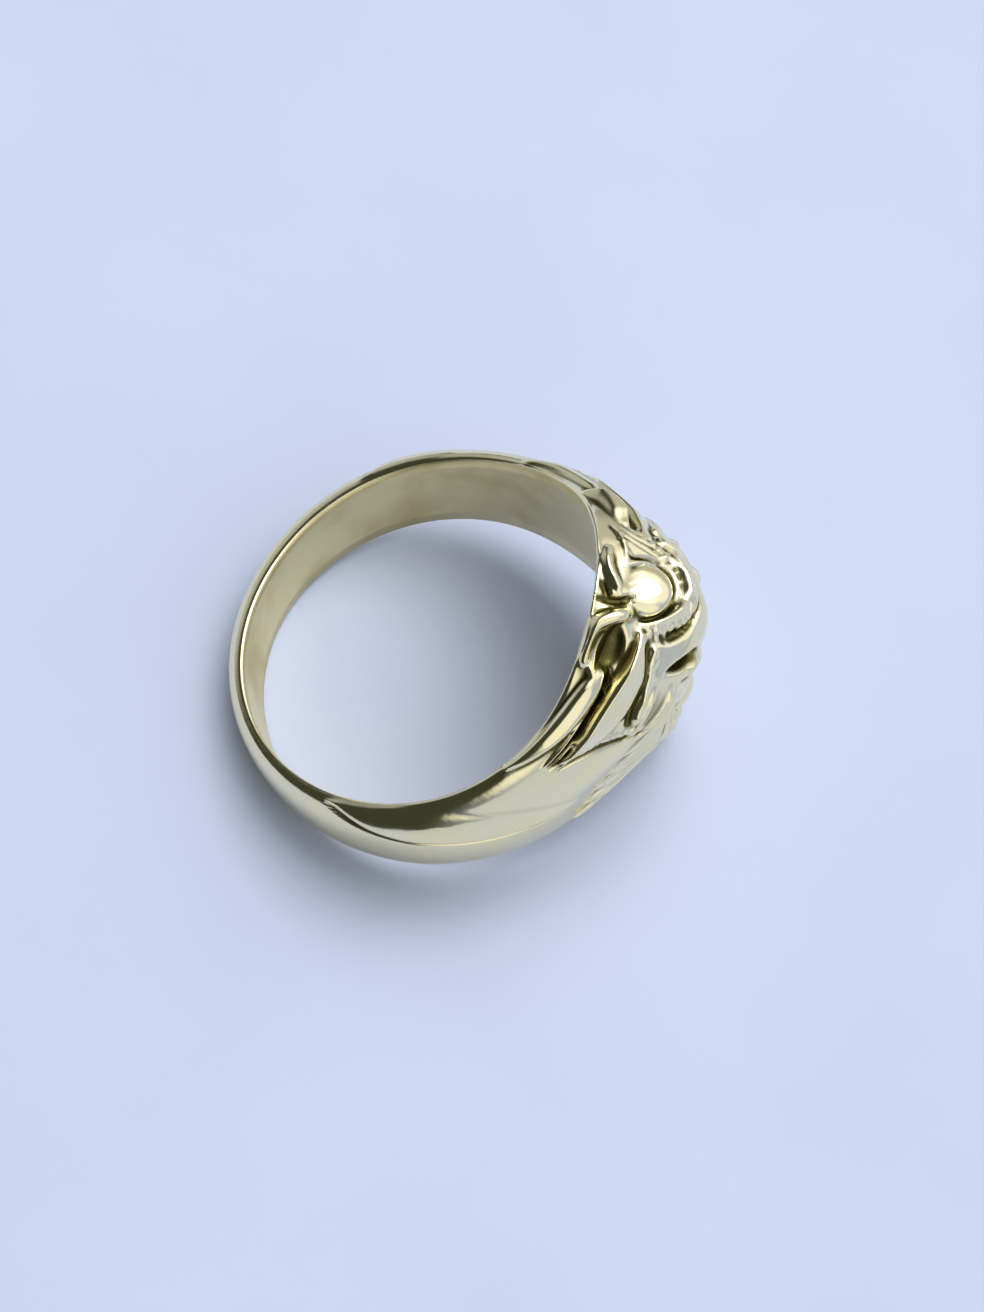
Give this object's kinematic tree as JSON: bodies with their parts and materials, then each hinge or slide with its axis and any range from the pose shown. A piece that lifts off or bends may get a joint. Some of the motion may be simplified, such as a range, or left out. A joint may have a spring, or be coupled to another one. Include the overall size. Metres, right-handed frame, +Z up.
{
  "type": "lion head ring",
  "caption": "Cast gold finger ring whose band widens into a lion's head with a mane, lying on its side.",
  "frame": {"origin": "on the floor under the middle of the ring's box, with the ring lying on its side", "axes": "+X towards the lion's head, +Z up, with the finger axis leaning back from +Z by the tilt at which the ring rests on the head's lower edge and the back of the shank"},
  "size_m": [0.0238, 0.0224, 0.0151],
  "materials": {
    "gold": "polished yellow gold, with a satin bore wall"
  },
  "bodies": {
    "root": {"lion_head_ring": "gold"}
  },
  "joints": []
}
